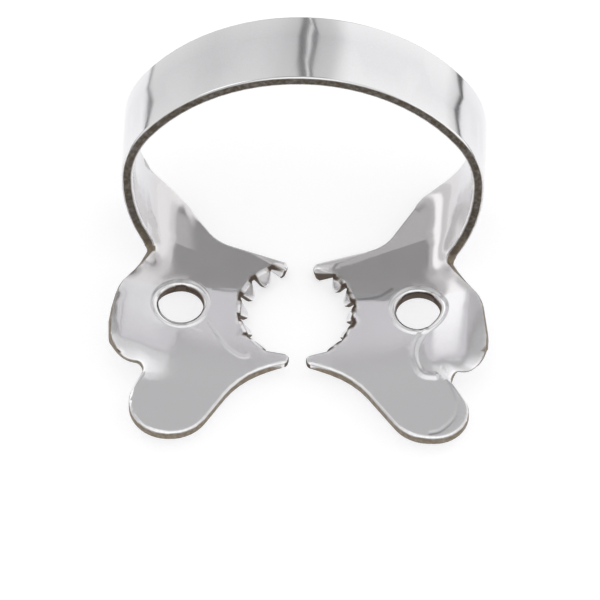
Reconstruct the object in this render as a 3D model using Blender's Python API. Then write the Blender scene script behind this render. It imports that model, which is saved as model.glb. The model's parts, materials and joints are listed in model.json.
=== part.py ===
# A winged clamp for a sheet of dental rubber dam, with serrated jaws.
# The real one is stamped from one strip of spring steel and bent, so it is built the same way:
# a flat blank is outlined, given its thickness and rounded rims, and then bent into shape.
# X runs across the jaws, Y away from their front toes and Z up through the bow.
# While it is shaped, Y starts at the forceps holes and Z at the jaws' flat top face. At the end it
# is moved to its own frame, with the origin under its middle, on the surface that it stands on.

import math

import bmesh
import bpy
import numpy as np
from mathutils import Euler, Matrix, Vector
from mathutils.kdtree import KDTree
from mathutils.geometry import delaunay_2d_cdt

MM = 0.001

# Sheet
SHEET = 0.55 * MM
RIM_TOP = 0.15 * MM
RIM_UNDER = 0.11 * MM
HOLE_RIM = 0.38 * MM
HOLE_RIM_DEPTH = 0.07 * MM

# Bow, the strip that springs the jaws together, measured on its inner face
STRIP_WIDTH = 4.2 * MM
STRIP_FRONT = 3.05 * MM
LEAN = math.radians(10)
CROWN_RADIUS = 8.92 * MM
CROWN_TURN = math.radians(54)
SHOULDER_RADIUS = 4.46 * MM
WIDEST_HEIGHT = 4.7 * MM
WALL_RADIUS = 8.4 * MM
FOOT_RADIUS_FRONT = 1.0 * MM
FOOT_RADIUS_BACK = 2.0 * MM

# Jaws. Where the two differ, a size is given for the left and then for the right one.
HOLE_DIAMETER = 2.14 * MM
HOLE_REACH = 5.64 * MM
RING_STEP = 0.09 * MM
ARM_CREASE = (0.92 * MM, 0.45 * MM)
ARM_CREASE_SOFT = 0.06 * MM
ARM_DROP = math.radians(4)

# Serrated bite, a bent-down lip round the tooth, pressed thinner than the sheet
BITE_RADIUS = 3.04 * MM
BITE_CENTRE = ((0.0 * MM, -0.14 * MM), (-0.29 * MM, -0.19 * MM))
LIP_RADIUS = 0.36 * MM
LIP_TURN = math.radians(56)
LIP_END = math.radians(11)
LIP_THINNED = 0.36
LIP_THINNING = 0.4 * MM
NOTCH_START = 0.20 * MM
TOOTH_LENGTH = (1.0 * MM, 0.88 * MM)
TOOTH_COUNT = 5
TOOTH_PITCH = (math.radians(24.3), math.radians(21.8))
TOOTH_TURN = (math.radians(1.7), math.radians(-1.0))
TOOTH_SQUARENESS = 1.5
TOOTH_FULLNESS = 0.42

# Tip of the back prong, bent down towards the gum, with a thick blunt end
PRONG_DROP = 0.38 * MM
PRONG_REACH = 1.75 * MM
PRONG_START = 1.1 * MM
PRONG_BLEND = 1.0 * MM
KNOB_REACH = 0.88 * MM
KNOB_WIDTH = 0.75 * MM
KNOB_SWELL = 0.32

# Front tip, ground thinner towards its end
TIP_THINNED = 0.36
TIP_TAPER = 1.9 * MM
TIP_START = 2.1 * MM

# Side wings, pressed up along a fold. The fold is given by places along Y, from the front, and
# its reach from the mid-plane at each.
FOLD_PLACES = (
    (-4.6 * MM, -2.3 * MM, 0.0 * MM, 3.1 * MM),
    (-4.5 * MM, -4.05 * MM, -3.75 * MM, -3.1 * MM, -2.2 * MM, -1.35 * MM, -0.7 * MM, 0.5 * MM, 3.1 * MM),
)
FOLD_REACHES = (
    (5.33 * MM, 5.70 * MM, 5.99 * MM, 6.24 * MM),
    (8.2 * MM, 7.2 * MM, 6.15 * MM, 5.66 * MM, 5.68 * MM, 6.28 * MM, 6.55 * MM, 6.55 * MM, 6.10 * MM),
)
FOLD_BLEND = 0.3 * MM
FOLD_DIP = (0.0, math.radians(5))
FOLD_DIP_RADIUS = 1.8 * MM
FOLD_RADIUS = (3.2 * MM, 0.7 * MM)
WING_TURN = (math.radians(18), math.radians(24))
EASE_REACH = (7.2 * MM, 8.05 * MM)
EASE_TURN = (math.radians(0.5), math.radians(10))
EASE_RADIUS = 1.6 * MM
WING_BLEND = 1.2 * MM
TOE_BLEND = (-4.6 * MM, 1.9 * MM)

# Corners of the blank, each the reach from the mid-plane, the place along Y and the rounding
STRIP_FLARE = ((9.2 * MM, 4.0 * MM), (10.4 * MM, 4.0 * MM))
NECK = ((6.5 * MM, 7.58 * MM, 2.0 * MM), (6.5 * MM, 8.70 * MM, 2.6 * MM))
ARM = ((3.93 * MM, 0.97 * MM, 2.0 * MM), (3.80 * MM, 0.98 * MM, 2.0 * MM))
BACK_TIP = ((0.56 * MM, 0.02 * MM, 0.28 * MM), (0.46 * MM, 0.08 * MM, 0.28 * MM))
BACK_TIP_FACE = ((0.66 * MM, -0.50 * MM, 0.22 * MM), (0.56 * MM, -0.44 * MM, 0.22 * MM))
FRONT_TIP_FACE = ((0.36 * MM, -0.38 * MM, 0.26 * MM), (0.34 * MM, -0.34 * MM, 0.26 * MM))
FRONT_TIP = ((0.50 * MM, 0.17 * MM, 0.27 * MM), (0.48 * MM, 0.15 * MM, 0.27 * MM))
FRONT_SWEEP = (2.49 * MM, -3.83 * MM, 4.2 * MM)
TOE_INNER = (4.86 * MM, 5.34 * MM)
TOE_OUTER = (7.93 * MM, 8.24 * MM)
TOE_END = (-7.72 * MM, -7.57 * MM)
TOE_INNER_RADIUS = 2.0 * MM
TOE_OUTER_RADIUS = 1.87 * MM
WAIST = (-5.35 * MM, -5.5 * MM)
WAIST_RADIUS = 1.6 * MM
WING_NOTCH = ((7.12 * MM, -3.62 * MM, 0.32 * MM), (7.02 * MM, -3.60 * MM, 0.32 * MM))
WING_FRONT = ((8.86 * MM, -3.72 * MM, 1.2 * MM), (9.06 * MM, -3.98 * MM, 1.3 * MM))
WING_BACK = ((8.62 * MM, 0.85 * MM, 2.6 * MM), (8.66 * MM, 0.62 * MM, 2.4 * MM))
WING_SIDE = ((9.10 * MM, -1.50 * MM, 6.0 * MM), (9.18 * MM, -2.10 * MM, 5.0 * MM))
WING_START = ((7.60 * MM, 2.15 * MM, 1.0 * MM), (7.35 * MM, 2.20 * MM, 1.2 * MM))
BOW_NOTCH = (7.02 * MM, 6.70 * MM)
BOW_NOTCH_RADIUS = 0.3 * MM

# Most of a side that the rounding of its two corners may take
MOST_ROUNDED = 0.98

# Most of the sheet's thickness that one rim may take, and least width of a mitre
MOST_RIM = 0.45
LEAST_MITRE = 0.6

# Fineness of the facets
GRID = 0.46 * MM
FOOT_GRID = 0.24 * MM
FOOT_ROWS = 5
EDGE_GAP = 0.16 * MM
LINE_GAP = 0.2 * MM
CREASE_STEP = 0.3 * MM
FOLD_ROW = 0.28 * MM
FOLD_MARKS = (0.0 * MM, 0.16 * MM, 0.28 * MM, 0.4 * MM, 0.52 * MM, 0.85 * MM)
TOOTH_STEPS = 16
SLOPE_STEP = 0.002 * MM
ARC_STEP = math.radians(9)
RIM_STEPS = 2
BOW_STEPS = (7, 6, 9, 12)
BOW_ROW = 3
BOW_FOOT = 3 * MM
TOOTH_MARKS = (0.3, 0.5, 0.72)
LIP_STEPS = 4


def walk(pieces, distance):
    """Place and heading after a distance along pieces, each a length and the angle it turns."""
    x = z = heading = 0.0
    for length, turn in pieces:
        step = min(distance, length)
        part = turn * step / length
        if turn:
            radius = length / turn
            x += radius * (math.sin(heading + part) - math.sin(heading))
            z += radius * (math.cos(heading) - math.cos(heading + part))
        else:
            x += step * math.cos(heading)
            z += step * math.sin(heading)
        heading += part
        distance -= step
        if distance <= 0:
            return x, z
    return x + distance * math.cos(heading), z + distance * math.sin(heading)


def smooth(value):
    value = min(max(value, 0.0), 1.0)
    return value * value * (3 - 2 * value)


def arc(radius, turn):
    return radius * abs(turn), turn


def across(b):
    """Distance across the strip from its front edge, for a line of the blank at Y = b."""
    return (b - STRIP_FRONT) * math.cos(LEAN)


def foot_radius(b):
    share = min(max(across(b) / STRIP_WIDTH, 0.0), 1.0)
    return FOOT_RADIUS_FRONT + (FOOT_RADIUS_BACK - FOOT_RADIUS_FRONT) * share


def of_side(pair, side):
    """The left or the right jaw's one of a pair of sizes."""
    return pair[side > 0]


def wall_turn(side, b):
    """Angle of the bow's wall from its widest place down to its foot, which ends level with the jaw."""
    foot = foot_radius(b)
    rise = WIDEST_HEIGHT - jaw_level(side, b) / math.cos(LEAN) - across(b) * math.tan(LEAN)
    return math.asin((rise - foot) / (WALL_RADIUS - foot))


def bend_line(side, b):
    """Reach from the mid-plane at which the jaw starts to rise into the bow."""
    widest = CROWN_RADIUS * math.sin(CROWN_TURN) + SHOULDER_RADIUS * (1 - math.sin(CROWN_TURN))
    inward = math.cos(wall_turn(side, b))
    return widest - WALL_RADIUS * (1 - inward) - foot_radius(b) * inward


def jaw_level(side, b):
    """Height of the jaw's top face: flat in front, with the back arm bent down past its crease."""
    past = b - of_side(ARM_CREASE, side)
    ramp = (past + math.hypot(past, ARM_CREASE_SOFT)) / 2
    return -math.tan(ARM_DROP) * ramp


def ring_share(reach, b):
    """1 on the flat ring round a forceps hole, 0 just outside it."""
    edge = HOLE_DIAMETER / 2 + HOLE_RIM
    return 1 - smooth((math.hypot(reach - HOLE_REACH, b) - edge) / RING_STEP)


def bow_pieces(side, b):
    """The bow's inner face from the jaw up to the crown, along the line of the blank at Y = b."""
    turn = wall_turn(side, b)
    return [
        arc(foot_radius(b), math.pi / 2 - turn),
        arc(WALL_RADIUS, turn),
        arc(SHOULDER_RADIUS, math.pi / 2 - CROWN_TURN),
        arc(CROWN_RADIUS, CROWN_TURN),
    ]


def half_length(side, b):
    """Length of the blank from the crown's middle to where the flat jaw would reach the mid-plane."""
    return bend_line(side, b) + sum(length for length, turn in bow_pieces(side, b))


def fold_reach(side, b):
    """Reach from the mid-plane at which a side wing starts to rise."""
    steps = np.linspace(-FOLD_BLEND, FOLD_BLEND, 7)
    return float(np.mean(np.interp(b + steps, of_side(FOLD_PLACES, side), of_side(FOLD_REACHES, side))))


def wing_height(side, reach, b):
    """Reach and height of a side wing, which dies away into the flat toe."""
    start = fold_reach(side, b)
    if reach <= start:
        return reach, 0.0
    pressed = smooth((b - TOE_BLEND[0]) / TOE_BLEND[1])
    dip = of_side(FOLD_DIP, side)
    pieces = [arc(FOLD_DIP_RADIUS, -dip)] if dip else []
    pieces.append(arc(of_side(FOLD_RADIUS, side), dip + of_side(WING_TURN, side)))
    run = of_side(EASE_REACH, side) - start - sum(length for length, turn in pieces)
    if run > 0:
        pieces.append((run, 0.0))
    pieces.append(arc(EASE_RADIUS, -of_side(EASE_TURN, side)))
    x, z = walk([(length, turn * pressed) for length, turn in pieces], reach - start)
    return start + x, z


def prong_drop(reach, b):
    """How far the back prong's tip is bent down, growing towards the tooth."""
    return PRONG_DROP * smooth(1 - reach / PRONG_REACH) * smooth((b - PRONG_START) / PRONG_BLEND)


def from_bite(side, reach, b):
    """Place of a point measured from the middle of its jaw's bite."""
    middle = of_side(BITE_CENTRE, side)
    return Vector((reach - middle[0], b - middle[1]))


def lip_share(side, spoke):
    """1 where the edge of the bite is bent down, fading out at the back prong and the front tip."""
    angle = math.atan2(spoke.y, spoke.x) - of_side(TOOTH_TURN, side)
    past = abs(angle) - TOOTH_COUNT * of_side(TOOTH_PITCH, side) / 2
    return 1 - smooth(past / LIP_END)


def bent(u, b):
    """Place on the top face, which is the bow's inner face, of a point of the blank."""
    side = -1 if u < 0 else 1
    foot = bend_line(side, b)
    reach = half_length(side, b) - abs(u)
    past = reach - foot
    level = jaw_level(side, b) * (1 - ring_share(reach, b))
    share = smooth((b - STRIP_FRONT + WING_BLEND) / WING_BLEND)
    wing_x, wing_z = wing_height(side, reach, b)
    bow_x, bow_z = walk(bow_pieces(side, b), past) if past > 0 else (past, 0.0)
    x = share * (foot + bow_x) + (1 - share) * wing_x
    y = b + share * bow_z * math.sin(LEAN)
    z = level + share * bow_z * math.cos(LEAN) + (1 - share) * wing_z
    if past < 0:
        z -= prong_drop(x, b)
    spoke = from_bite(side, x, y)
    if past < 0 and spoke.length < BITE_RADIUS:
        inward, drop = walk([arc(LIP_RADIUS, -LIP_TURN)], BITE_RADIUS - spoke.length)
        share = lip_share(side, spoke)
        moved = spoke * ((BITE_RADIUS - inward) / spoke.length - 1) * share
        x, y, z = x + moved.x, y + moved.y, z + drop * share
    return Vector((side * x, y, z))


def thickness(side, reach, b):
    """The steel's thickness here as a share of the sheet's."""
    spoke = from_bite(side, reach, b)
    lip = smooth((BITE_RADIUS + LIP_THINNING / 2 - spoke.length) / LIP_THINNING) * lip_share(side, spoke)
    knob = smooth(1 - abs(reach - KNOB_REACH) / KNOB_WIDTH) * smooth((b - PRONG_START) / PRONG_BLEND)
    tip = smooth(1 - reach / TIP_TAPER) * smooth((-b - TIP_START) / PRONG_BLEND)
    return 1 - LIP_THINNED * lip + KNOB_SWELL * knob - TIP_THINNED * tip


def bent_solid(u, b, depth):
    """Place of a point of the blank that lies this deep under the top face."""
    side = -1 if u < 0 else 1
    along = bent(u + SLOPE_STEP, b) - bent(u - SLOPE_STEP, b)
    over = bent(u, b + SLOPE_STEP) - bent(u, b - SLOPE_STEP)
    normal = over.cross(along).normalized()
    return bent(u, b) + normal * depth * thickness(side, half_length(side, b) - abs(u), b)


def corner_runs(corners):
    """Length that each corner's rounding takes of both its sides, less where two would meet."""
    places = [Vector(corner[:2]) for corner in corners]
    wanted = [0.0] * len(corners)
    for index in range(1, len(corners) - 1):
        half = (places[index - 1] - places[index]).angle(places[index + 1] - places[index]) / 2
        wanted[index] = corners[index][2] / math.tan(half)
    runs = list(wanted)
    for index in range(len(corners) - 1):
        length = (places[index + 1] - places[index]).length
        share = length * MOST_ROUNDED / max(wanted[index] + wanted[index + 1], length * MOST_ROUNDED)
        runs[index] = min(runs[index], wanted[index] * share)
        runs[index + 1] = min(runs[index + 1], wanted[index + 1] * share)
    return runs


def rounded(corners):
    """Points along a line through corners, each an X, a Y and the radius that rounds it."""
    runs = corner_runs(corners)
    line = [Vector(corners[0][:2])]
    for index in range(1, len(corners) - 1):
        here = Vector(corners[index][:2])
        if not runs[index]:
            line.append(here)
            continue
        back = (Vector(corners[index - 1][:2]) - here).normalized()
        on = (Vector(corners[index + 1][:2]) - here).normalized()
        half = back.angle(on) / 2
        middle = here + (back + on).normalized() * runs[index] / math.cos(half)
        first = here + back * runs[index] - middle
        turn = (here + on * runs[index] - middle).angle_signed(first)
        steps = max(2, math.ceil(abs(turn) / ARC_STEP))
        for step in range(steps + 1):
            spoke = first.to_3d()
            spoke.rotate(Euler((0, 0, turn * step / steps)))
            line.append(middle + spoke.to_2d())
    return line + [Vector(corners[-1][:2])]


def notch_depth(angle):
    """1 at the root of a notch and 0 at the end of a tooth, with both of them blunt."""
    def blunt(place):
        return math.tanh(TOOTH_SQUARENESS * (math.cos(place) - TOOTH_FULLNESS))
    return (blunt(angle) - blunt(math.pi)) / (blunt(0.0) - blunt(math.pi))


def bite_line(side):
    """The serrated edge of one jaw in the blank, from the back notch round to the front notch."""
    span = TOOTH_COUNT * of_side(TOOTH_PITCH, side) / 2
    middle = Vector(of_side(BITE_CENTRE, side))
    line = []
    count = TOOTH_COUNT * TOOTH_STEPS
    for step in range(count + 1):
        angle = of_side(TOOTH_TURN, side) + span - 2 * span * step / count
        share = 1 - notch_depth(2 * math.pi * step / TOOTH_STEPS)
        radius = BITE_RADIUS - NOTCH_START - (of_side(TOOTH_LENGTH, side) - NOTCH_START) * share
        line.append(middle + radius * Vector((math.cos(angle), math.sin(angle))))
    return line


def stations(side, b):
    """Distances past the bend line at which the bow gets a row of points."""
    marks = [0.0]
    for (length, turn), steps in zip(bow_pieces(side, b), BOW_STEPS):
        marks += [marks[-1] + length / steps * (step + 1) for step in range(steps)]
    return marks


def behind_bite(corner, side):
    """A corner whose place along Y is measured back from the rear of the bite's circle."""
    return corner[0], of_side(BITE_CENTRE, side)[1] + BITE_RADIUS + corner[1], corner[2]


def before_bite(corner, side):
    """A corner whose place along Y is measured forward from the front of the bite's circle."""
    return corner[0], of_side(BITE_CENTRE, side)[1] - BITE_RADIUS - corner[1], corner[2]


def jaw_outline(side):
    """Half of the blank's outline, from the crown's back edge round the jaw to its front edge."""
    back = STRIP_FRONT + STRIP_WIDTH / math.cos(LEAN)
    bite = bite_line(side)
    flare, flare_radius = of_side(STRIP_FLARE, side)
    neck = [(half_length(side, back), back, 0.0), (flare, back, flare_radius), of_side(NECK, side)]
    neck += [behind_bite(of_side(corner, side), side) for corner in (ARM, BACK_TIP, BACK_TIP_FACE)]
    neck += [(bite[0].x, bite[0].y, 0.0)]
    wings = [(bite[-1].x, bite[-1].y, 0.0)]
    wings += [before_bite(of_side(corner, side), side) for corner in (FRONT_TIP_FACE, FRONT_TIP)]
    wings += [FRONT_SWEEP, (of_side(TOE_INNER, side), of_side(TOE_END, side), TOE_INNER_RADIUS)]
    wings += [(of_side(TOE_OUTER, side), of_side(TOE_END, side), TOE_OUTER_RADIUS)]
    wings += [(of_side(TOE_OUTER, side), of_side(WAIST, side), WAIST_RADIUS)]
    wings += [of_side(corner, side) for corner in (WING_NOTCH, WING_FRONT, WING_SIDE, WING_BACK, WING_START)]
    wings += [(of_side(BOW_NOTCH, side), STRIP_FRONT, BOW_NOTCH_RADIUS)]
    wings += [(half_length(side, STRIP_FRONT), STRIP_FRONT, 0.0)]
    line = rounded(neck)[1:-1] + bite + rounded(wings)[1:-1]
    back_edge = [Vector((bend_line(side, back) + mark, back)) for mark in reversed(stations(side, back))]
    front_foot = bend_line(side, STRIP_FRONT)
    front_edge = [Vector((front_foot + mark, STRIP_FRONT)) for mark in stations(side, STRIP_FRONT)]
    back_edge = [point for point in back_edge if point.x > line[0].x + FOOT_GRID]
    front_edge = [point for point in front_edge if point.x > line[-1].x + FOOT_GRID]
    return back_edge + line + front_edge


def shrunk(line, inset):
    """The open line moved into the sheet, which lies on its left."""
    moved = []
    for index, here in enumerate(line):
        before = line[max(index - 1, 0)]
        after = line[min(index + 1, len(line) - 1)]
        first = (here - before).normalized() if index else (after - here).normalized()
        second = (after - here).normalized() if index < len(line) - 1 else first
        run = (first + second).normalized()
        stretch = 1 / max(run.dot(second), LEAST_MITRE)
        moved.append(here + Vector((-run.y, run.x)) * inset * stretch)
    return moved


def rim_profile(width, depth, under):
    """Inset and depth of each ring round an edge of the sheet, from its top face to its under face."""
    depth = min(depth, MOST_RIM * SHEET)
    under = min(under, MOST_RIM * SHEET)
    rings = []
    for step in range(RIM_STEPS + 1):
        angle = math.pi / 2 * step / RIM_STEPS
        rings.append((width * (1 - math.sin(angle)), -depth * (1 - math.cos(angle))))
    for step in range(RIM_STEPS + 1):
        angle = math.pi / 2 * step / RIM_STEPS
        rings.append((under * (1 - math.cos(angle)), -SHEET + under * (1 - math.sin(angle))))
    return rings


def in_blank(side, point):
    """A point given by its reach from the mid-plane of the flat jaw, as a point of the blank."""
    return Vector((side * (half_length(side, point.y) - point.x), point.y))


def hole_line(radius):
    steps = round(2 * math.pi / ARC_STEP)
    angles = [2 * math.pi * step / steps for step in range(steps)]
    return [Vector((HOLE_REACH + radius * math.cos(t), radius * math.sin(t))) for t in angles]


def grid_points(side):
    """Points spread over one flat jaw and its half of the bow."""
    back = STRIP_FRONT + STRIP_WIDTH / math.cos(LEAN)
    points = []
    toe_end = min(TOE_END)
    rows = math.ceil((back - toe_end) / GRID)
    for row in range(1, rows):
        b = back + (toe_end - back) * row / rows
        foot = bend_line(side, b)
        first = GRID / 2 if row % 2 else GRID
        points += [Vector((reach, b)) for reach in np.arange(foot - first, 0, -GRID)]
        if b > STRIP_FRONT:
            marks = [mark for mark in stations(side, b) if row % BOW_ROW == 0 or mark < BOW_FOOT]
        else:
            marks = [GRID * step for step in range(FOOT_ROWS + 4)]
        points += [Vector((foot + mark, b)) for mark in marks]
    return points


def line_points(side):
    """Points along the arm's crease, round the ring of the forceps hole and along the wing's fold."""
    points = hole_line(HOLE_DIAMETER / 2 + HOLE_RIM + RING_STEP)
    crease = of_side(ARM_CREASE, side)
    for reach in np.arange(BITE_RADIUS - CREASE_STEP, bend_line(side, crease), CREASE_STEP):
        points += [Vector((reach, crease - ARM_CREASE_SOFT)), Vector((reach, crease + ARM_CREASE_SOFT))]
    for b in np.arange(TOE_BLEND[0], STRIP_FRONT - WING_BLEND, FOLD_ROW):
        points += [Vector((fold_reach(side, b) + mark, b)) for mark in FOLD_MARKS]
        points += [Vector((of_side(EASE_REACH, side) + mark, b)) for mark in FOLD_MARKS[:2]]
    return points


def on_sheet(side, point):
    """Whether a point of the flat jaw is clear of the bite and of the ring round the forceps hole."""
    clear_of_bite = from_bite(side, *point).length > BITE_RADIUS + LINE_GAP / 4
    ring = HOLE_DIAMETER / 2 + HOLE_RIM + RING_STEP / 2
    return clear_of_bite and math.hypot(point.x - HOLE_REACH, point.y) > ring


def tooth_points(side):
    """Points along the crease of the serrated lip and down the middle of each tooth."""
    middle = Vector(of_side(BITE_CENTRE, side))
    pitch = of_side(TOOTH_PITCH, side)
    points = []
    reached = (TOOTH_COUNT + 2) * LIP_STEPS // 2
    for step in range(-reached, reached + 1):
        angle = of_side(TOOTH_TURN, side) + step * pitch / LIP_STEPS
        points.append(middle + BITE_RADIUS * Vector((math.cos(angle), math.sin(angle))))
    for tooth in range(TOOTH_COUNT):
        angle = of_side(TOOTH_TURN, side) + (tooth - (TOOTH_COUNT - 1) / 2) * pitch
        for mark in TOOTH_MARKS:
            radius = BITE_RADIUS - mark * of_side(TOOTH_LENGTH, side)
            points.append(middle + radius * Vector((math.cos(angle), math.sin(angle))))
    return points


def inner_points(side, edges):
    """Points of one half of the blank inside its edges, closer along its creases and folds."""
    lines = [point for point in line_points(side) if on_sheet(side, point)]
    grid = [point for point in grid_points(side) if on_sheet(side, point)]
    marks = spaced([in_blank(side, point) for point in tooth_points(side)], edges, EDGE_GAP / 2)
    marks += spaced([in_blank(side, point) for point in lines], edges + marks, EDGE_GAP / 2)
    return marks + spaced([in_blank(side, point) for point in grid], edges + marks, LINE_GAP)


def spaced(points, edges, gap):
    """The points that lie at least the gap away from the edge points and from each other."""
    tree = KDTree(len(edges))
    for index, edge in enumerate(edges):
        tree.insert(edge.to_3d(), index)
    tree.balance()
    kept = []
    for point in points:
        near = any((point - other).length < gap for other in kept)
        if not near and tree.find(point.to_3d())[2] > gap:
            kept.append(point)
    return kept


def blank_loops(rings):
    """For each ring, the blank's outline and its two holes."""
    loops = []
    for (inset, depth), (hole_inset, hole_depth) in zip(*rings):
        right = [in_blank(1, point) for point in shrunk(jaw_outline(1), inset)]
        left = [in_blank(-1, point) for point in shrunk(jaw_outline(-1), inset)[1:-1]]
        hole = hole_line(HOLE_DIAMETER / 2 + hole_inset)
        holes = [[in_blank(side, point) for point in hole] for side in (1, -1)]
        loops.append(((right + left[::-1], depth), (holes[0], hole_depth), (holes[1], hole_depth)))
    return loops


def clamp_mesh():
    rings = rim_profile(RIM_TOP, RIM_TOP, RIM_UNDER), rim_profile(HOLE_RIM, HOLE_RIM_DEPTH, RIM_UNDER)
    loops = blank_loops(rings)
    edge_points = [point for loop, depth in loops[0] for point in loop]
    inner = inner_points(1, edge_points)
    inner += inner_points(-1, edge_points + inner)
    ends = []
    for loop, depth in loops[0]:
        first = len(ends)
        count = len(loop)
        ends += [(first + index, first + (index + 1) % count) for index in range(count)]
    flat, _, faces, *_ = delaunay_2d_cdt(edge_points + inner, ends, [], 2, 1e-9)
    bm = bmesh.new()
    top = [bm.verts.new(bent_solid(*point, 0.0)) for point in flat]
    bottom_place = list(flat)
    last = [point for loop, depth in loops[-1] for point in loop]
    bottom_place[:len(last)] = last
    bottom = [bm.verts.new(bent_solid(*point, -SHEET)) for point in bottom_place]
    outline_count = len(loops[0][0][0])
    for face in faces:
        if all(outline_count <= index < len(last) for index in face):
            continue
        bm.faces.new([top[index] for index in face])
        bm.faces.new([bottom[index] for index in reversed(face)])
    previous = top[:len(last)]
    for ring in loops[1:-1] + [None]:
        if ring is None:
            current = bottom[:len(last)]
        else:
            current = [bm.verts.new(bent_solid(*point, depth)) for loop, depth in ring for point in loop]
        for start, end in ends:
            bm.faces.new((previous[start], previous[end], current[end], current[start]))
        previous = current
    bmesh.ops.delete(bm, geom=[vert for vert in bm.verts if not vert.link_faces], context="VERTS")
    bmesh.ops.recalc_face_normals(bm, faces=bm.faces)
    bmesh.ops.triangulate(bm, faces=[face for face in bm.faces if len(face.verts) > 3])
    mesh = bpy.data.meshes.new("clamp_body")
    bm.to_mesh(mesh)
    bm.free()
    return mesh


def steel():
    material = bpy.data.materials.new("polished_steel")
    material.use_nodes = True
    shader = material.node_tree.nodes["Principled BSDF"]
    shader.inputs["Base Color"].default_value = (0.62, 0.61, 0.61, 1.0)
    shader.inputs["Metallic"].default_value = 1.0
    shader.inputs["Roughness"].default_value = 0.22
    return material


def stand_up(mesh):
    """Moves the finished clamp to its own frame."""
    lines = [vert.co.y for vert in mesh.vertices]
    middle = (min(lines) + max(lines)) / 2
    floor = min(vert.co.z for vert in mesh.vertices)
    mesh.transform(Matrix.Translation((0, -middle, -floor)))


def build():
    for old in list(bpy.data.objects):
        bpy.data.objects.remove(old)
    mesh = clamp_mesh()
    stand_up(mesh)
    mesh.shade_smooth()
    mesh.set_sharp_from_angle(angle=math.radians(50))
    mesh.materials.append(steel())
    clamp = bpy.data.objects.new("clamp_body", mesh)
    bpy.context.scene.collection.objects.link(clamp)


build()
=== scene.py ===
import json
import math

import bmesh
import bpy
import numpy as np
from mathutils import Matrix, Vector
from mathutils.bvhtree import BVHTree
from mathutils.kdtree import KDTree

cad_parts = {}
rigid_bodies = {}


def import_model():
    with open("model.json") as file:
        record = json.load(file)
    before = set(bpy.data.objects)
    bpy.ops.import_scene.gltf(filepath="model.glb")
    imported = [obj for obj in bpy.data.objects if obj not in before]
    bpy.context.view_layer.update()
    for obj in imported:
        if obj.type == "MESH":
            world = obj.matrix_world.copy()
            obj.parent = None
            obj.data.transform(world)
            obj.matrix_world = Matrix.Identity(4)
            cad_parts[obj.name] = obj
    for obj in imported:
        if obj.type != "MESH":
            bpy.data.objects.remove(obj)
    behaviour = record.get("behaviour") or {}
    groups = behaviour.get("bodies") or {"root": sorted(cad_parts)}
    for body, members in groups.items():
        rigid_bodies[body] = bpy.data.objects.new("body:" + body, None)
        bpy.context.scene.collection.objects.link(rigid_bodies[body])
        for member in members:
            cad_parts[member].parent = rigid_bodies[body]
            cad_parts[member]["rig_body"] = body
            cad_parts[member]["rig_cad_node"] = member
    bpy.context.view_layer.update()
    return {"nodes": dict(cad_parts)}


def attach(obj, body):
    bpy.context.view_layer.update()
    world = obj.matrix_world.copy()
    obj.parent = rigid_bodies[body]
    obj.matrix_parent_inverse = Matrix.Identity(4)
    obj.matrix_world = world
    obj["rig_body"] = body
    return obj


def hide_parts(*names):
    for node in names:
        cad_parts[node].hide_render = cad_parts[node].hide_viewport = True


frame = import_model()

mm = 0.001


# shader maths as plain Python: a value in a shader that adds and multiplies like a number

class Field:
    def __init__(self, tree, socket):
        self.tree = tree
        self.socket = socket

    def math(self, operation, *others):
        return Shading.maths(self.tree, operation, (self, *others))

    def flipped(self, operation, other):
        return Shading.maths(self.tree, operation, (other, self))

    def __add__(self, other):
        return self.math("ADD", other)

    def __radd__(self, other):
        return self.math("ADD", other)

    def __sub__(self, other):
        return self.math("SUBTRACT", other)

    def __rsub__(self, other):
        return self.flipped("SUBTRACT", other)

    def __mul__(self, other):
        return self.math("MULTIPLY", other)

    def __rmul__(self, other):
        return self.math("MULTIPLY", other)

    def __truediv__(self, other):
        return self.math("DIVIDE", other)

    def __rtruediv__(self, other):
        return self.flipped("DIVIDE", other)

    def __neg__(self):
        return self.math("MULTIPLY", -1.0)

    def __abs__(self):
        return self.math("ABSOLUTE")

    def __pow__(self, other):
        return self.math("POWER", other)

    def least(self, other):
        return self.math("MINIMUM", other)

    def most(self, other):
        return self.math("MAXIMUM", other)


    # 0 below low, 1 above high, eased in between
    def step(self, low, high):
        node = self.tree.nodes.new("ShaderNodeMapRange")
        node.interpolation_type = "SMOOTHSTEP"
        self.tree.links.new(self.socket, node.inputs["Value"])
        node.inputs["From Min"].default_value = low
        node.inputs["From Max"].default_value = high
        return Field(self.tree, node.outputs["Result"])

    # 1 at the middle, 0 farther off than reach
    def near(self, middle, reach):
        return 1 - abs(self - middle).step(0, reach)


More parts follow.
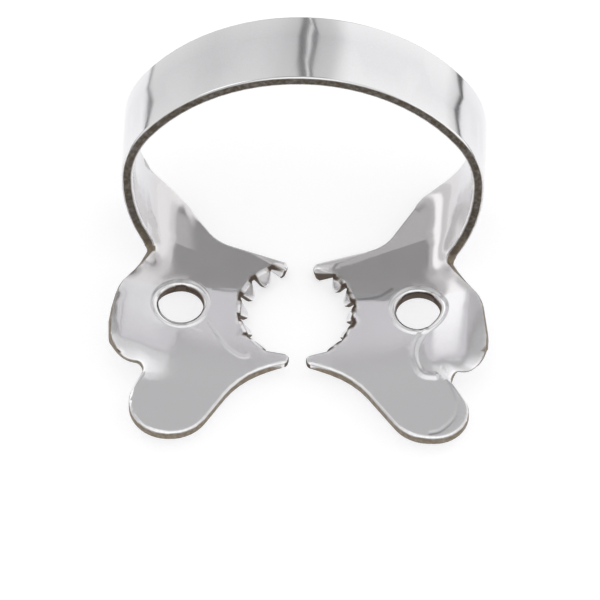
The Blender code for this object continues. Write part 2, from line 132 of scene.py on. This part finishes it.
# the nodes of a material or of the world
class Shading:
    def __init__(self, owner):
        owner.use_nodes = True
        self.tree = owner.node_tree
        self.tree.nodes.clear()

    @staticmethod
    def maths(tree, operation, values):
        node = tree.nodes.new("ShaderNodeMath")
        node.operation = operation
        for socket, value in zip(node.inputs, values):
            if isinstance(value, Field):
                tree.links.new(value.socket, socket)
            else:
                socket.default_value = value
        return Field(tree, node.outputs[0])

    def node(self, kind, settings=None, **values):
        node = self.tree.nodes.new(kind)
        for name, value in (settings or {}).items():
            if name == "ramp":
                self.fillRamp(node.color_ramp, value)
            else:
                setattr(node, name, value)
        for name, value in values.items():
            self.feed(node.inputs[name.replace("_", " ")], value)
        return node

    def feed(self, socket, value):
        if isinstance(value, Field):
            self.tree.links.new(value.socket, socket)
        elif isinstance(value, bpy.types.NodeSocket):
            self.tree.links.new(value, socket)
        else:
            socket.default_value = value

    def fillRamp(self, ramp, stops):
        while len(ramp.elements) < len(stops):
            ramp.elements.new(0.5)
        for element, (place, level) in zip(ramp.elements, stops):
            element.position = place
            element.color = (*level, 1) if isinstance(level, tuple) else (level, level, level, 1)

    def value(self, node, output=0):
        return Field(self.tree, node.outputs[output])

    def attribute(self, name):
        return self.value(self.node("ShaderNodeAttribute", dict(attribute_name=name)), "Fac")

    def split(self, vector):
        node = self.node("ShaderNodeSeparateXYZ", Vector=vector)
        return [Field(self.tree, output) for output in node.outputs]

    def mixColour(self, share, first, second, blend="MIX"):
        node = self.tree.nodes.new("ShaderNodeMix")
        node.data_type = "RGBA"
        node.blend_type = blend
        self.feed(node.inputs[0], share)
        self.feed(node.inputs[6], first)
        self.feed(node.inputs[7], second)
        return node.outputs[2]


# the clamp, from its solid

clamp = dict(
    mergeWithin=0.0005 * mm,
    sheet=0.55 * mm,
    thickest=1.4,
    skin=0.01 * mm,
    facing=-0.86,
    wingStart=5.3 * mm,
    wingEnd=-4.9 * mm,
    wingTop=2.4 * mm,
    wingRounds=3,
    wingReach=0.4 * mm,
    wingLike=0.4,
    level=0.9998,
    rounds=5,
    longest=0.22 * mm,
    finest=0.06 * mm,
    tooSmall=0.0005 * mm,
    flatRise=0.99,
    flatLean=0.03,
    flatLike=0.99985,
    edgeWide=0.16 * mm,
    edgeRim=(0.2, 0.95),
    sheetRim=0.9,
    upward=0.3,
    jawTop=3.5 * mm,
)
wing = dict(
    middle=-2.4 * mm,
    fold=5.75 * mm,
    curve=130,
    front=-4.4 * mm,
    back=0.6 * mm,
    ease=0.5 * mm,
    frontEase=0.25 * mm,
    crest=7.75 * mm,
    crestEase=0.35 * mm,
    rise=(-0.39, 0.03, 0.92),
    rim=(-0.10, 0.0, 0.995),
    level=1.0838 * mm,
    top=2.6 * mm,
    rimFade=(8.3 * mm, 9.0 * mm),
    inside=0.1 * mm,
)


def showOnly(obj):
    bpy.ops.object.select_all(action="DESELECT")
    obj.select_set(True)
    bpy.context.view_layer.objects.active = obj


def makeClamp():
    solid = frame["nodes"]["clamp_body"]
    showOnly(solid)
    bpy.ops.object.duplicate()
    piece = bpy.context.active_object
    piece.name = "clampSteel"
    piece.parent = None
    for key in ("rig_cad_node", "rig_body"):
        if key in piece:
            del piece[key]
    showOnly(piece)
    bpy.ops.object.mode_set(mode="EDIT")
    bpy.ops.mesh.select_all(action="SELECT")
    bpy.ops.mesh.remove_doubles(threshold=clamp["mergeWithin"])
    bpy.ops.mesh.normals_make_consistent(inside=False)
    bpy.ops.object.mode_set(mode="OBJECT")
    bpy.ops.object.shade_smooth()
    finishSurface(piece.data)
    return piece


# tells the sheet's two faces from its rims, refines the mesh, presses the wing and the lines into it, and
# gives it even normals
def finishSurface(mesh):
    bm = bmesh.new()
    bm.from_mesh(mesh)
    dropSlivers(bm)
    tree = BVHTree.FromBMesh(bm)
    rims = set()
    for face in bm.faces:
        start = face.calc_center_median() - face.normal * clamp["skin"]
        place, normal, index, distance = tree.ray_cast(start, -face.normal)
        through = place is None or distance > clamp["thickest"] * clamp["sheet"]
        if through or normal.dot(face.normal) > clamp["facing"]:
            rims.add(face)
    rimLayer = bm.verts.layers.float.new("rim")
    normalLayer = bm.verts.layers.float_vector.new("lie")
    for vert in bm.verts:
        sheet = [face for face in vert.link_faces if face not in rims]
        vert[rimLayer] = 1 - len(sheet) / max(len(vert.link_faces), 1)
        normal = Vector((0, 0, 0))
        for face in sheet or vert.link_faces:
            normal += face.normal * (face.calc_area() / mm ** 2) ** 2
        vert[normalLayer] = normal.normalized()
    for turn in range(clamp["rounds"]):
        refine(bm)
    dropSlivers(bm)
    dishWing(bm, tree, rimLayer)
    bm.verts.index_update()
    bm.normal_update()
    normals = [flatNormal(vert) or vert[normalLayer].normalized() for vert in bm.verts]
    normals = evenPressed(bm, normals, rimLayer)
    markEdges(bm, rimLayer)
    paint(bm, normals)
    pressSheet(bm, normals)
    bm.verts.layers.float_vector.remove(normalLayer)
    bm.to_mesh(mesh)
    bm.free()
    mesh.normals_split_custom_set_from_vertices(normals)


# the normal of a point inside a flat stretch of the jaws or arms, or none elsewhere
def flatNormal(vert):
    first = vert.link_faces[0].normal
    flat = abs(first.z) > clamp["flatRise"] and abs(first.x) < clamp["flatLean"]
    if flat and all(face.normal.dot(first) > clamp["flatLike"] for face in vert.link_faces):
        return first.copy()
    return None


# takes out faces with no width, and pairs of faces that lie on each other
def dropSlivers(bm):
    bmesh.ops.dissolve_degenerate(bm, dist=clamp["tooSmall"], edges=bm.edges)
    bmesh.ops.triangulate(bm, faces=[face for face in bm.faces if len(face.verts) > 3])
    corners = {}
    for face in bm.faces:
        corners.setdefault(frozenset(face.verts), []).append(face)
    doubled = [face for faces in corners.values() if len(faces) > 1 for face in faces]
    bmesh.ops.delete(bm, geom=doubled, context="FACES")
    bm.normal_update()


# 1 along the rims, 0 farther off than the painted edge highlight is wide
def markEdges(bm, rimLayer):
    low, high = clamp["edgeRim"]
    border = [vert for vert in bm.verts if low < vert[rimLayer] < high
              and any(edge.other_vert(vert)[rimLayer] > high for edge in vert.link_edges)]
    around = KDTree(len(border))
    for place, vert in enumerate(border):
        around.insert(vert.co, place)
    around.balance()
    edgeLayer = bm.verts.layers.float.new("edge")
    for vert in bm.verts:
        vert[edgeLayer] = max(0, 1 - around.find(vert.co)[2] / clamp["edgeWide"])


# cuts the long edges of the jaws, and all edges near a line that the steel carries
def refine(bm):
    bm.edges.index_update()
    middles = np.array([(edge.verts[0].co + edge.verts[1].co) / 2 for edge in bm.edges])
    lengths = np.array([edge.calc_length() for edge in bm.edges])
    spots = photoPixels(middles)
    wanted = (lengths > clamp["longest"]) & (middles[:, 2] < clamp["jawTop"])
    upper = np.array([any(face.normal.z > clamp["upward"] for face in edge.link_faces) for edge in bm.edges])
    upper &= middles[:, 2] < marks["top"]
    lines = [(reach, points) for reach, strength, points in marks["pressed"] + marks["dark"] + marks["light"]]
    for reach, points in lines + marks["facets"]:
        close = distancesTo(spots, curved(points)) < reach + marks["margin"]
        wanted |= close & (lengths > clamp["finest"]) & upper
    cut = [edge for edge in bm.edges if wanted[edge.index]]
    bmesh.ops.subdivide_edges(bm, edges=cut, cuts=1)
    bmesh.ops.triangulate(bm, faces=[face for face in bm.faces if len(face.verts) > 3])


# how much painted shade (dark) and painted highlight or real scratch (light) each point carries
def paint(bm, normals):
    places = np.array([vert.co for vert in bm.verts])
    spots = photoPixels(places)
    upper = np.array([normal.z > clamp["upward"] for normal in normals]) & (places[:, 2] < marks["top"])
    # dark is painted shade along the creases; light is painted highlight, together with real scratches
    dark = painted(spots, marks["dark"]) * upper
    light = painted(spots, marks["light"]) * upper
    creaseShadeLayer = bm.verts.layers.float.new("dark")
    highlightAndScratchLayer = bm.verts.layers.float.new("light")
    for vert, depth, shine in zip(bm.verts, dark, light):
        vert[creaseShadeLayer] = depth
        vert[highlightAndScratchLayer] = shine


# how high the pressed lines and the raised faces of the arms stand over the sheet
def pressedHeight(places):
    spots = photoPixels(places)
    height = np.zeros(len(places))
    for reach, rise, points in marks["pressed"]:
        height += rise * (1 - eased(distancesTo(spots, curved(points)), 0, reach))
    ease = marks["armLeftEase"]
    left = np.maximum(above(spots, marks["armLeft"]), 0)
    left = left * eased(marks["armLeftEnd"] - spots[:, 0], -ease, ease)
    right = np.maximum(above(spots, marks["armRight"]), 0)
    lean = np.where(places[:, 0] < 0, left, right) * eased(places[:, 1], *marks["armStart"])
    return height + lean * marks["armSlope"] * marks["onPlate"]


def pressSheet(bm, normals):
    places = np.array([vert.co for vert in bm.verts])
    lie = np.array(normals)
    share = eased(lie[:, 2], *marks["level"]) * (places[:, 2] < marks["top"])
    probe = marks["probe"]
    slopes = []
    for way in np.array([(probe, 0, 0), (0, probe, 0)]):
        rises = pressedHeight(places + way) - pressedHeight(places - way)
        slopes.append(rises / (2 * probe) * share)
    height = pressedHeight(places) * share
    for vert, rise, across, along in zip(bm.verts, height, *slopes):
        if rise or across or along:
            vert.co.z += rise
            normals[vert.index] = (normals[vert.index] - Vector((across, along, 0))).normalized()


# the right wing's height over the plate beyond its fold: eased in, steady up to its crest, then flatter
def wingHeight(x, y):
    beyond = x - wing["fold"] - wing["curve"] * (y - wing["middle"]) ** 2
    steep, flat = -wing["rise"][0] / wing["rise"][2], -wing["rim"][0] / wing["rim"][2]
    inner = min(beyond, wing["ease"])
    rise = steep * inner * inner / (2 * wing["ease"]) + steep * max(beyond - wing["ease"], 0)
    past = max(x - wing["crest"], 0)
    turning = min(past, wing["crestEase"])
    return wing["level"] + rise - (steep - flat) * (turning ** 2 / (2 * wing["crestEase"]) + past - turning)


# how much of the dish a place on the right wing has
def dishShare(place):
    beyond = place.x - wing["fold"] - wing["curve"] * (place.y - wing["middle"]) ** 2
    if not wing["front"] < place.y < wing["back"] or beyond < 0:
        return 0
    share = min(beyond / wing["ease"], 1) * min((wing["back"] - place.y) / wing["ease"], 1)
    return share * min((place.y - wing["front"]) / wing["frontEase"], 1)


# lifts or lowers both faces of the wing together; the height over a rim is read just inside it
def dishWing(bm, tree, rimLayer):
    moves = []
    for vert in bm.verts:
        share = dishShare(vert.co) if vert.co.z < wing["top"] else 0
        if share > 0:
            spot = vert.co.copy()
            if vert[rimLayer] > 0:
                spot -= Vector((vert.normal.x, vert.normal.y, 0)) * wing["inside"]
            above = tree.ray_cast(Vector((spot.x, spot.y, wing["top"])), Vector((0, 0, -1)))[0]
            if above:
                ends = 1 - eased(vert.co.x, *wing["rimFade"])
                moves.append((vert, share * ends * (wingHeight(spot.x, spot.y) - above.z)))
    for vert, rise in moves:
        vert.co.z += rise
    print("right wing dished by up to", round(max(abs(rise) for vert, rise in moves) / mm, 3), "mm")


# the wings and necks were pressed in one stroke, so their normals turn evenly
def evenPressed(bm, normals, rimLayer):
    def pressed(vert):
        beside = abs(vert.co.x) > clamp["wingStart"] and clamp["wingEnd"] < vert.co.y
        return beside and vert.co.z < clamp["wingTop"] and vert[rimLayer] < clamp["sheetRim"]

    for vert in bm.verts:
        upper = normals[vert.index].z > clamp["upward"] and vert[rimLayer] < clamp["sheetRim"]
        if vert.co.x > clamp["wingStart"] and upper:
            normals[vert.index] = dishedNormal(vert.co, normals[vert.index])
    chosen = [vert for vert in bm.verts if pressed(vert)]
    around = KDTree(len(chosen))
    for place, vert in enumerate(chosen):
        around.insert(vert.co, place)
    around.balance()
    near = [[(chosen[place].index, 1 - distance / clamp["wingReach"])
             for point, place, distance in around.find_range(vert.co, clamp["wingReach"])] for vert in chosen]
    for turn in range(clamp["wingRounds"]):
        evened = list(normals)
        for vert, others in zip(chosen, near):
            own = normals[vert.index]
            if own.z > clamp["level"]:
                continue
            total = Vector((0, 0, 0))
            for index, weight in others:
                if normals[index].dot(own) > clamp["wingLike"]:
                    total += normals[index] * weight
            evened[vert.index] = total.normalized()
        normals = evened
    return normals


# the right wing rises evenly beyond its deep fold and flattens towards its rim
def dishedNormal(place, normal):
    outer = min(max((place.x - wing["crest"]) / wing["crestEase"], 0), 1)
    dished = Vector(wing["rise"]).lerp(Vector(wing["rim"]), outer)
    return normal.lerp(dished, dishShare(place)).normalized()


# the steel

steel = dict(
    colour=(0.74, 0.73, 0.745, 1),
    # a darker, warmer colour for the arms' faces behind the creases: painted shade
    facetShadeColour=(0.70, 0.675, 0.67, 1),
    highlightAndScratchColour=(0.97, 0.97, 0.97, 1),
    rawColour=(0.22, 0.18, 0.13, 1),
    deepColour=(0.115, 0.095, 0.072, 1),
    pitShadeColour=(0.11, 0.085, 0.068, 1),
    roughness=0.15,
    bowRoughness=0.06,
    rawRoughness=0.5,
    grainSize=14000,
    grainHeight=0.0003 * mm,
    hole=(5.64 * mm, -0.764 * mm),
    ringRadius=1.25 * mm,
    ringReach=0.24 * mm,
    ringHeight=0.05 * mm,
    ringHighlight=0.5,
    edgeHighlight=0.6,
    facing=(0.35, 0.7),
    jawTop=(2.6 * mm, 3.2 * mm),
    bowStart=(4 * mm, 6 * mm),
    fleck=0.12,
    cloudSize=700,
    cloudRoughness=0.04,
    cutAt=(0.55, 0.95),
    rawGrainSize=5000,
    rawGrainHeight=0.004 * mm,
    rawLeast=0.7,
    rawVary=0.5,
    deepAt=(0.85, 1.0),
    deepStart=(2 * mm, 3 * mm),
    holeRim=(1.25 * mm, 1.35 * mm),
    holeWall=(1.07 * mm, 1.17 * mm),
    biteMiddle=-0.9 * mm,
    biteEdge=(3.3 * mm, 3.45 * mm),
    facetShadeShare=0.6,
    facetShadeStart=(0.1 * mm, 0.4 * mm),
    facetShadeRound=(1.4 * mm, 1.5 * mm),
)

# what the sheet carries, found by the photograph's pixels: forms pressed into the top, each with its reach,
# its height and its points; painted shade along the creases, and painted highlights on the bite's edges and
# the pressed streak beside two real scratches, each with its reach, its strength and its points; and the
# borders of flat faces, where the mesh is finer
marks = dict(
    pressed=[
        (3.0, 0.012 * mm, [(208.7, 321), (216, 331), (226, 346), (240, 356), (248.7, 356)]),
        (5.0, 0.050 * mm, [(425, 330), (417, 341), (414, 352), (416, 364), (423, 374), (435, 376)]),
        (3.0, -0.010 * mm, [(442, 368), (449, 380), (456, 395), (458, 404), (454, 418), (441, 430),
                            (430, 433)]),
    ],
    # dark: painted shade along the creases behind the hole rings
    dark=[
        (2.4, 0.35, [(213, 289), (228, 291), (241, 291)]),
        (2.4, 0.35, [(356, 300), (378, 297), (392, 289)]),
    ],
    # light: a painted highlight on the pressed streak, two real scratches, and painted highlights along the
    # bite's edges
    light=[
        (2.2, 0.25, [(208.7, 321), (216, 331), (226, 346), (240, 356), (248.7, 356)]),
        (2.0, 0.30, [(214, 337), (223, 342)]),
        (2.0, 0.30, [(191, 327), (201, 331)]),
        (2.4, 0.60, [(276, 267), (262, 273), (250, 282), (243, 292), (239.5, 305), (241, 318)]),
        (2.4, 0.60, [(318, 268), (330, 275), (341, 285), (348, 297), (351, 310), (350, 322)]),
    ],
    facets=[
        (2.0, [(143, 229), (183, 246), (192, 249)]),
        (8.0, [(192, 249), (192, 214)]),
        (3.0, [(372, 257), (458, 229)]),
        (2.0, [(213, 289), (241, 289)]),
    ],
    top=3.5 * mm,
    armLeft=[(143, 229), (183, 246)],
    armLeftEnd=192,
    armLeftEase=8,
    armRight=[(372, 257), (458, 229)],
    armStart=(0.8 * mm, 1.2 * mm),
    armSlope=0.05,
    level=(0.9, 0.97),
    margin=1,
    onPlate=0.0594 * mm,
    probe=0.01 * mm,
)


# the photograph's pixels over places on the steel
def photoPixels(places):
    right, up, away = cameraAxes()
    sideways, upwards, height = camera["aim"]
    pixel = camera["width"] / camera["frame"]
    across = (places @ np.array(right) - height * right.z - sideways) / pixel + camera["frame"] / 2
    down = camera["frame"] / 2 - (places @ np.array(up) - height * up.z - upwards) / pixel
    return np.stack([across, down], axis=1)


# 0 below low, 1 above high, eased in between
def eased(values, low, high):
    share = np.clip((values - low) / (high - low), 0, 1)
    return share * share * (3 - 2 * share)


# where a smooth curve lies between its second and third of four points
def between(a, b, c, d, t):
    turn = (2 * a - 5 * b + 4 * c - d) * t ** 2 + (3 * b - a - 3 * c + d) * t ** 3
    return 0.5 * (2 * b + (c - a) * t + turn)


# a smooth curve through points
def curved(points, steps=4):
    if len(points) < 3:
        return points
    ends = [points[0], *points, points[-1]]
    line = []
    for four in zip(ends, ends[1:], ends[2:], ends[3:]):
        for step in range(steps):
            line.append(tuple(between(*values, step / steps) for values in zip(*four)))
    return [*line, points[-1]]


def distancesTo(spots, points):
    closest = np.full(len(spots), np.inf)
    for start, end in zip(np.array(points, float), np.array(points, float)[1:]):
        way = end - start
        share = np.clip((spots - start) @ way / (way @ way), 0, 1)
        closest = np.minimum(closest, np.linalg.norm(spots - start - share[:, None] * way, axis=1))
    return closest


def painted(spots, lines):
    together = np.zeros(len(spots))
    for reach, strength, points in lines:
        together = np.maximum(together, strength * (1 - eased(distancesTo(spots, curved(points)), 0, reach)))
    return together


# how far a spot lies above a line, in pixels
def above(spots, line):
    (ax, ay), (bx, by) = line
    return ((spots[:, 0] - ax) * (by - ay) - (spots[:, 1] - ay) * (bx - ax)) / math.hypot(bx - ax, by - ay)


def makeSteel():
    material = bpy.data.materials.new("polishedSteel")
    s = Shading(material)
    coordinates = s.node("ShaderNodeTexCoord")
    place = coordinates.outputs["Object"]
    x, y, z = s.split(place)
    facing = s.split(coordinates.outputs["Normal"])[2]
    onTop = facing.step(*steel["facing"])
    onJaw = onTop * (1 - z.step(*steel["jawTop"]))
    onBow = z.step(*steel["bowStart"])

    cut = s.attribute("rim").step(*steel["cutAt"])
    grain = s.value(s.node("ShaderNodeTexNoise", Vector=place, Scale=steel["grainSize"], Detail=2.0))
    cloud = s.value(s.node("ShaderNodeTexNoise", Vector=place, Scale=steel["cloudSize"], Detail=2.0))
    rawGrain = s.value(s.node("ShaderNodeTexNoise", Vector=place, Scale=steel["rawGrainSize"], Detail=4.0))
    raw = cut * (steel["rawLeast"] + rawGrain * steel["rawVary"]).least(1.0)
    deep = s.attribute("rim").step(*steel["deepAt"]) * z.step(*steel["deepStart"])

    holeAcross, holeAlong = steel["hole"]
    fromHole = ((abs(x) - holeAcross) ** 2 + (y - holeAlong) ** 2) ** 0.5
    # painted shade: the hole walls and the cut faces in the bite's notches darkened below the raw brown
    pitShade = (cut * (1 - fromHole.step(*steel["holeRim"]))).most(1 - fromHole.step(*steel["holeWall"]))
    fromBite = (x ** 2 + (y - steel["biteMiddle"]) ** 2) ** 0.5
    pitShade = pitShade.most(cut * (1 - fromBite.step(*steel["biteEdge"])))

    # dark: painted shade in the creases, darkening the colour
    dark = s.attribute("dark")
    light = s.attribute("light")
    # painted highlight on the raised ring round each hole; the ring's shape itself comes from the bump below
    ring = (1 - fromHole.step(steel["ringRadius"], steel["ringRadius"] + steel["ringReach"])) * onJaw
    # painted highlight along every rim of the sheet, from the edge attribute
    light = light.most(ring * steel["ringHighlight"]).most(s.attribute("edge") * steel["edgeHighlight"])
    # painted shade: a darker, warmer tone on the arms' faces behind the creases, away from the hole rings
    facetShade = onJaw * y.step(*steel["facetShadeStart"]) * fromHole.step(*steel["facetShadeRound"])
    colour = s.mixColour(facetShade * steel["facetShadeShare"], steel["colour"], steel["facetShadeColour"])
    fleck = 1 + (grain - 0.5) * steel["fleck"]
    shade = fleck * (1 - dark)
    tone = s.node("ShaderNodeCombineColor", Red=shade, Green=shade, Blue=shade).outputs[0]
    colour = s.mixColour(1.0, colour, tone, "MULTIPLY")
    # painted highlights, and the real scratches, laid on in a near-white colour
    colour = s.mixColour(light, colour, steel["highlightAndScratchColour"])
    rawColour = s.mixColour(deep, steel["rawColour"], steel["deepColour"])
    colour = s.mixColour(raw, colour, rawColour)
    colour = s.mixColour(pitShade, colour, steel["pitShadeColour"])

    smoothness = steel["roughness"] - onBow * (steel["roughness"] - steel["bowRoughness"])
    rough = (smoothness + cloud * steel["cloudRoughness"]) * (1 - raw) + raw * steel["rawRoughness"]

    height = fromHole.near(steel["ringRadius"], steel["ringReach"]) * steel["ringHeight"] * onJaw
    height = height + grain * steel["grainHeight"] + rawGrain * cut * steel["rawGrainHeight"]
    bump = s.node("ShaderNodeBump", Height=height, Strength=1.0, Distance=1.0)
    shader = s.node("ShaderNodeBsdfPrincipled", Base_Color=colour, Metallic=1.0, Roughness=rough)
    s.feed(shader.inputs["Normal"], bump.outputs[0])
    output = s.node("ShaderNodeOutputMaterial")
    s.tree.links.new(shader.outputs[0], output.inputs[0])
    return material


# floor and surroundings

studio = dict(
    floorSize=57.5 * mm,
    floorPlace=(2.2 * mm, 0, 0),
    floorColour=(0.60, 0.60, 0.61, 1),
    floorFill=0.56,
    behind=(0.94, 0.985),
    across=(-0.06, 0.10),
    before=(0.2, 0.7),
    postLeft=(-0.09, -0.03),
    postRight=(0.045, 0.055),
    slitPlace=0.012,
    slitReach=0.016,
    postFoot=(6, 14),
    postTop=(38, 44),
    postAhead=(0, 0.5),
    postShown=120,
    slitShown=235,
    boxAzimuth=-43,
    boxElevation=31,
    boxReach=(15, 7),
    boxShown=252,
)

# how bright polished steel shows the walls, from 0 to 255, by degrees over the horizon; the dark bands low
# at the sides show as lines on the bow
walls = dict(
    behind=[(-90, 190), (0, 170), (20, 175), (30, 205), (36, 170), (38.5, 132), (45.5, 122), (46.5, 135),
            (48, 177), (55, 181), (58, 190), (61, 200), (68, 225), (90, 250)],
    left=[(-90, 200), (-44, 212), (-22, 206), (-20.5, 95), (-16.5, 95), (-15, 208), (0, 206), (15, 198),
          (28, 204), (36, 190), (42, 178), (46, 182), (51, 165), (58, 205), (68, 225), (90, 250)],
    right=[(-90, 200), (-44, 215), (-33, 200), (-26, 212), (-17.5, 205), (-16.5, 85), (-13.5, 85),
           (-12, 205), (-6, 231), (30, 229), (38, 217), (48, 203), (58, 205), (68, 225), (90, 250)],
    before=[(-90, 130), (-30, 115), (0, 150), (30, 180), (55, 200), (68, 225), (90, 250)],
)


# the light that steel of this colour shows at a brightness
def glowFor(shown):
    return ((shown / 255 + 0.055) / 1.055) ** 2.4 / steel["colour"][0]


def greyGlow(shown):
    return (glowFor(shown),) * 3 + (1,)


def makeFloor():
    bpy.ops.object.select_all(action="DESELECT")
    bpy.ops.mesh.primitive_plane_add(size=studio["floorSize"], location=studio["floorPlace"])
    floor = bpy.context.active_object
    floor.name = "floor"
    material = bpy.data.materials.new("floorWhite")
    s = Shading(material)
    path = s.node("ShaderNodeLightPath")
    seen = s.value(path, "Is Camera Ray").most(s.value(path, "Is Glossy Ray"))
    seen = seen.most(s.value(path, "Is Transmission Ray"))
    diffuse = s.node("ShaderNodeBsdfDiffuse", Color=studio["floorColour"])
    glow = s.node("ShaderNodeEmission", Color=(1, 1, 1, 1), Strength=seen * studio["floorFill"])
    both = s.node("ShaderNodeAddShader")
    s.tree.links.new(diffuse.outputs[0], both.inputs[0])
    s.tree.links.new(glow.outputs[0], both.inputs[1])
    output = s.node("ShaderNodeOutputMaterial")
    s.tree.links.new(both.outputs[0], output.inputs[0])
    floor.data.materials.append(material)


def makeSurroundings():
    world = bpy.data.worlds.new("studio")
    bpy.context.scene.world = world
    s = Shading(world)
    direction = s.node("ShaderNodeTexCoord").outputs["Generated"]
    x, y, z = s.split(direction)
    angle = z.most(-1.0).least(1.0).math("ARCSINE") * (180 / math.pi)
    level = ((x * x + y * y).most(1e-6)) ** 0.5
    ahead = y / level
    aside = x / level

    def wall(side):
        ramp = [(elevation / 180 + 0.5, glowFor(shown)) for elevation, shown in walls[side]]
        return s.node("ShaderNodeValToRGB", dict(ramp=ramp), Fac=angle / 180 + 0.5).outputs[0]

    colour = s.mixColour(aside.step(*studio["across"]), wall("left"), wall("right"))
    colour = s.mixColour(ahead.step(*studio["behind"]), colour, wall("behind"))
    colour = s.mixColour((-ahead).step(*studio["before"]), colour, wall("before"))
    post = aside.step(*studio["postLeft"]) * (1 - aside.step(*studio["postRight"]))
    post = post * angle.step(*studio["postFoot"]) * (1 - angle.step(*studio["postTop"]))
    post = post * ahead.step(*studio["postAhead"])
    slit = aside.near(studio["slitPlace"], studio["slitReach"]) * post
    colour = s.mixColour(post, colour, greyGlow(studio["postShown"]))
    colour = s.mixColour(slit, colour, greyGlow(studio["slitShown"]))
    turn, lift = math.radians(studio["boxAzimuth"]), math.radians(studio["boxElevation"])
    wide, narrow = (math.cos(math.radians(reach)) for reach in studio["boxReach"])
    towards = (math.sin(turn) * math.cos(lift), math.cos(turn) * math.cos(lift), math.sin(lift))
    dot = s.node("ShaderNodeVectorMath", dict(operation="DOT_PRODUCT"))
    s.feed(dot.inputs[0], direction)
    s.feed(dot.inputs[1], towards)
    box = s.value(dot, "Value")
    colour = s.mixColour(box.step(wide, narrow), colour, greyGlow(studio["boxShown"]))
    around = s.node("ShaderNodeBackground", Color=colour, Strength=1.0)
    white = s.node("ShaderNodeBackground", Color=(1, 1, 1, 1), Strength=1.0)
    mix = s.node("ShaderNodeMixShader")
    s.feed(mix.inputs[0], s.value(s.node("ShaderNodeLightPath"), "Is Camera Ray"))
    s.tree.links.new(around.outputs[0], mix.inputs[1])
    s.tree.links.new(white.outputs[0], mix.inputs[2])
    output = s.node("ShaderNodeOutputWorld")
    s.tree.links.new(mix.outputs[0], output.inputs[0])


# the camera: the photograph looks down at the clamp from in front, from far away

camera = dict(
    elevation=53.12,
    turn=1.72,
    roll=-0.236,
    aim=(-0.016 * mm, -1.506 * mm, 3.1176 * mm),
    width=28.5 * mm,
    frame=600,
    distance=200 * mm,
)


def cameraAxes():
    turn, elevation, roll = (math.radians(camera[name]) for name in ("turn", "elevation", "roll"))
    right = Vector((math.cos(turn), math.sin(turn), 0))
    ahead = Vector((-math.sin(turn), math.cos(turn), 0))
    away = ahead * math.cos(elevation) - Vector((0, 0, math.sin(elevation)))
    up = right.cross(away)
    right, up = right * math.cos(roll) - up * math.sin(roll), right * math.sin(roll) + up * math.cos(roll)
    return right, up, away


def makeCamera():
    right, up, away = cameraAxes()
    sideways, upwards, height = camera["aim"]
    spot = Vector((0, 0, height)) + right * sideways + up * upwards - away * camera["distance"]
    data = bpy.data.cameras.new("photoCamera")
    data.type = "ORTHO"
    data.ortho_scale = camera["width"]
    data.clip_start = 1 * mm
    data.clip_end = 2000 * mm
    obj = bpy.data.objects.new("photoCamera", data)
    bpy.context.scene.collection.objects.link(obj)
    turned = Matrix((right, up, -away)).transposed().to_4x4()
    obj.matrix_world = Matrix.Translation(spot) @ turned
    bpy.context.scene.camera = obj


makeCamera()
print("camera ready")
clampSteel = makeClamp()
clampSteel.data.materials.clear()
clampSteel.data.materials.append(makeSteel())
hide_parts("clamp_body")
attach(clampSteel, "root")
print("clamp finished:", len(clampSteel.data.polygons), "faces")
makeFloor()
makeSurroundings()
bpy.context.scene.view_settings.view_transform = "Standard"
print("studio ready")
